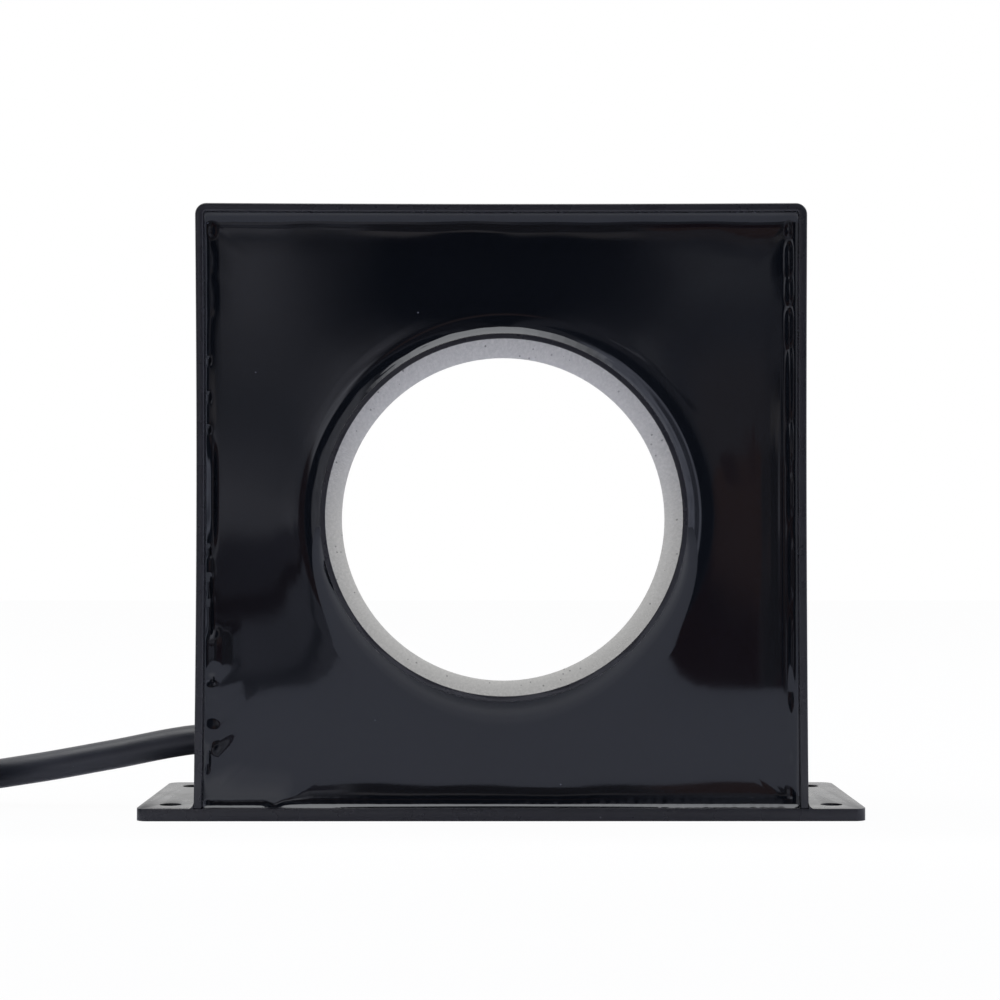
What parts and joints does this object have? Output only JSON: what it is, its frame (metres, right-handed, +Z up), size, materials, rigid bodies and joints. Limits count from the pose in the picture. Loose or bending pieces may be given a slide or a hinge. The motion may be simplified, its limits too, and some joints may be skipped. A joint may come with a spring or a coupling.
{
  "type": "window current transformer",
  "caption": "Window current transformer: a welded black steel box on a flanged base plate, with a round steel tube through it, cast in black resin, and a two-core lead.",
  "frame": {"origin": "centre of the base plate's underside", "axes": "+Z up from the base plate, +Y along the window from the cast front face to the back plate, +X to the right as seen from the front; the lead leaves towards -X"},
  "size_m": [0.3159, 0.0986, 0.1517],
  "materials": {
    "painted_steel": "satin black powder coat",
    "bare_steel": "dull bare steel",
    "cast_resin": "gloss black casting resin",
    "core_strip": "wound silicon steel strip",
    "insulating_paper": "pressboard and crepe paper",
    "copper_wire": "enamelled copper",
    "cotton_tape": "woven cotton tape",
    "shrink_sleeve": "heat-shrink sleeve",
    "brown_insulation": "core insulation",
    "blue_insulation": "core insulation",
    "lead_sheath": "satin black flexible sheath",
    "nylon_tie": "natural nylon",
    "grommet_rubber": "black rubber",
    "strap_nylon": "black nylon",
    "tinned_copper": "tinned copper"
  },
  "bodies": {
    "root": {"housing_wrapper": "painted_steel", "back_plate": "painted_steel", "base_plate": "painted_steel", "base_weld_left": "painted_steel", "base_weld_right": "painted_steel", "back_seam_weld": "painted_steel", "tube_weld": "painted_steel", "window_tube": "bare_steel", "potting_resin": "cast_resin", "strip_core": "core_strip", "core_inner_wrap": "insulating_paper", "core_outer_wrap": "insulating_paper", "end_ring_front": "insulating_paper", "end_ring_back": "insulating_paper", "secondary_winding": "copper_wire", "binding_tape": "cotton_tape", "spacer_pads": "insulating_paper", "start_lead": "copper_wire", "finish_lead": "copper_wire", "start_splice": "shrink_sleeve", "finish_splice": "shrink_sleeve", "start_core": "brown_insulation", "finish_core": "blue_insulation", "sheath_end": "lead_sheath", "inner_tie": "nylon_tie", "lead_grommet": "grommet_rubber", "lead_cable": "lead_sheath", "lead_coil": "lead_sheath", "coil_strap_left": "strap_nylon", "coil_strap_right": "strap_nylon", "free_core_a": "brown_insulation", "free_core_b": "blue_insulation", "ferrule_a": "tinned_copper", "ferrule_b": "tinned_copper"}
  },
  "joints": []
}
